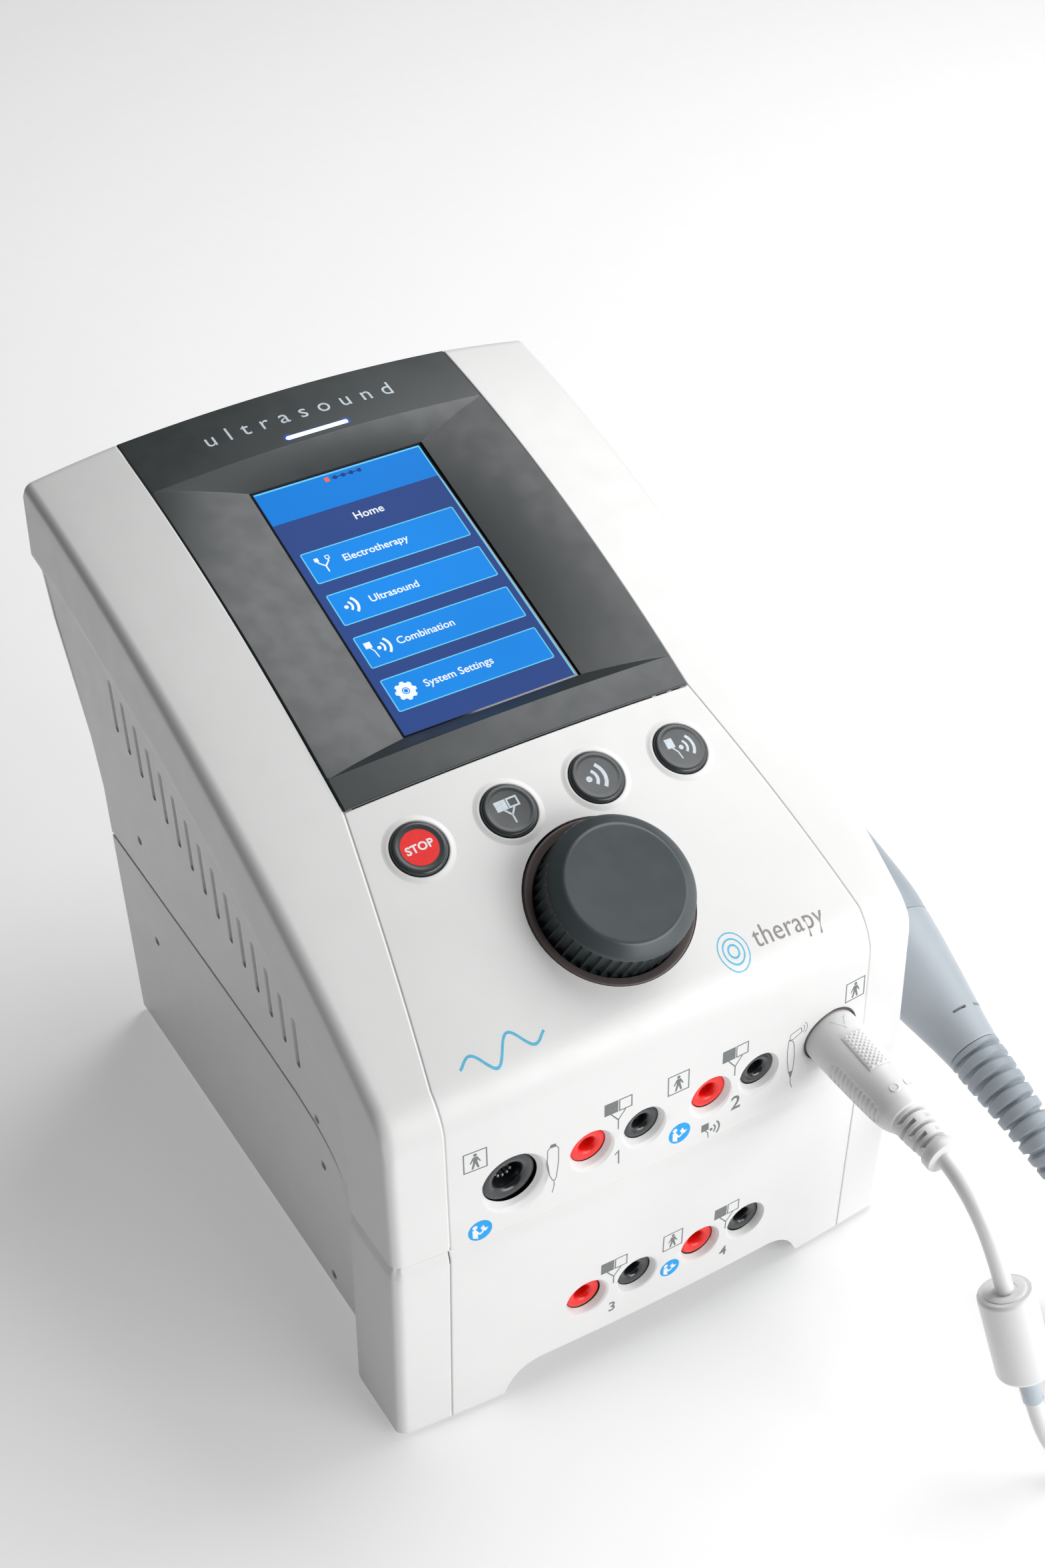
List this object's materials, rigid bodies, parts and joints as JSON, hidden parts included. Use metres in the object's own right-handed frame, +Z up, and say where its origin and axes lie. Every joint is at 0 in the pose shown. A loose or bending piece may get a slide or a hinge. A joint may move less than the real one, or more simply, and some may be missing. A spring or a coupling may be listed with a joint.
{
  "type": "ultrasound therapy device",
  "caption": "Two-tier therapy console with a sloping touch screen panel, control knob, keys, lead sockets and a plugged-in ultrasound applicator in a side cradle.",
  "frame": {"origin": "middle of the footprint of the console with its applicator, at the underside of the feet", "axes": "+X to the user's right, +Y to the rear, +Z up; the console faces -Y"},
  "size_m": [0.2859, 0.4247, 0.2406],
  "materials": {
    "housing_white": "warm white moulded plastic, fine spark-eroded texture, satin",
    "applicator_white": "white moulded plastic, satin",
    "sheet_steel": "zinc-plated sheet steel",
    "rear_panel_grey": "light grey powder coat",
    "foot_rubber": "black rubber, dull",
    "fascia_slate": "dark slate grey plastic, fine texture, satin",
    "screen_glass": "colour display behind cover glass",
    "lcd_frame": "pressed metal frame",
    "status_light": "translucent light pipe, lit white-blue",
    "circuit_board": "green solder mask with components",
    "ring_taupe": "dark taupe plastic",
    "knob_slate": "slate grey plastic, satin, ribbed grip",
    "shaft_steel": "turned steel",
    "black_plastic": "black plastic",
    "button_slate": "dark slate glossy key cap with printed symbol",
    "jack_red": "red insulating ring",
    "jack_black": "black insulating ring",
    "socket_taupe": "dark socket shell",
    "plug_white": "white overmoulded plug, satin",
    "cable_white": "white smooth cable jacket, satin",
    "label_film": "silver-grey label film",
    "tie_fabric": "black hook-and-loop strap",
    "applicator_grey": "grey-blue soft-touch plastic",
    "transducer_metal": "lapped aluminium radiating face"
  },
  "bodies": {
    "console": {"upper_housing": "housing_white", "front_bezel": "housing_white", "lower_housing": "housing_white", "lower_front_bezel": "housing_white", "applicator_holder": "housing_white", "chassis_plate": "sheet_steel", "base_plate": "sheet_steel", "rear_panel": "rear_panel_grey", "foot_front_left": "foot_rubber", "foot_front_right": "foot_rubber", "foot_rear_left": "foot_rubber", "foot_rear_right": "foot_rubber", "screen_fascia": "fascia_slate", "screen_glass": "screen_glass", "lcd_module": "lcd_frame", "status_light_bar": "status_light", "main_board": "circuit_board", "keypad_board": "circuit_board", "output_board_upper": "circuit_board", "output_board_lower": "circuit_board", "ultrasound_board": "circuit_board", "power_supply": "circuit_board", "knob_ring": "ring_taupe", "encoder_body": "black_plastic", "channel_1_red_jack": "jack_red", "channel_1_black_jack": "jack_black", "channel_2_red_jack": "jack_red", "channel_2_black_jack": "jack_black", "channel_3_red_jack": "jack_red", "channel_3_black_jack": "jack_black", "channel_4_red_jack": "jack_red", "channel_4_black_jack": "jack_black", "remote_jack": "jack_black", "ultrasound_socket": "socket_taupe", "iec_inlet": "black_plastic", "power_switch_frame": "black_plastic", "fan_frame": "black_plastic"},
    "knob": {"control_knob": "knob_slate", "knob_shaft": "shaft_steel"},
    "stop_key": {"stop_button": "button_slate"},
    "electro_key": {"electro_button": "button_slate"},
    "ultrasound_key": {"ultrasound_button": "button_slate"},
    "combination_key": {"combination_button": "button_slate"},
    "rocker": {"power_switch_rocker": "black_plastic"},
    "rotor": {"fan_rotor": "black_plastic"},
    "fuse_carrier": {"fuse_drawer": "black_plastic"},
    "ultrasound_lead": {"plug_body": "plug_white", "plug_latch": "plug_white", "plug_boot": "plug_white", "cable_lead": "cable_white", "ferrite_bead": "plug_white", "cable_label": "label_film", "cable_coil": "cable_white", "coil_tie": "tie_fabric", "cable_tail": "cable_white", "applicator_boot": "applicator_grey", "applicator_tail": "applicator_grey", "applicator_handle": "applicator_grey", "applicator_head": "applicator_white", "applicator_face": "transducer_metal"}
  },
  "joints": [
    {"name": "knob_turn", "type": "hinge", "parent": "console", "child": "knob", "pos_m": [-0.02385, -0.06002, 0.16722], "axis": [0, -0.4936, 0.8697], "continuous": true},
    {"name": "stop_press", "type": "slide", "parent": "console", "child": "stop_key", "axis": [0.0491, 0.4333, -0.8999], "range_m": [0, 0.0012], "stiffness_N_per_m": 1500, "springref_m": -0.0003},
    {"name": "electro_press", "type": "slide", "parent": "console", "child": "electro_key", "axis": [0.0164, 0.4368, -0.8994], "range_m": [0, 0.0012], "stiffness_N_per_m": 1500, "springref_m": -0.0003},
    {"name": "ultrasound_press", "type": "slide", "parent": "console", "child": "ultrasound_key", "axis": [-0.0164, 0.4368, -0.8994], "range_m": [0, 0.0012], "stiffness_N_per_m": 1500, "springref_m": -0.0003},
    {"name": "combination_press", "type": "slide", "parent": "console", "child": "combination_key", "axis": [-0.0491, 0.4333, -0.8999], "range_m": [0, 0.0012], "stiffness_N_per_m": 1500, "springref_m": -0.0003},
    {"name": "power_switch_tilt", "type": "hinge", "parent": "console", "child": "rocker", "pos_m": [-0.01185, 0.13128, 0.043], "axis": [1, 0, 0], "range_deg": [-16, 0]},
    {"name": "fan_spin", "type": "hinge", "parent": "console", "child": "rotor", "pos_m": [-0.06185, 0.12488, 0.043], "axis": [0, 1, 0], "continuous": true},
    {"name": "fuse_drawer_slide", "type": "slide", "parent": "console", "child": "fuse_carrier", "axis": [0, 1, 0], "range_m": [0, 0.018]},
    {"name": "lead_unplug", "type": "slide", "parent": "console", "child": "ultrasound_lead", "axis": [0, -1, 0], "range_m": [0, 0.018]}
  ]
}
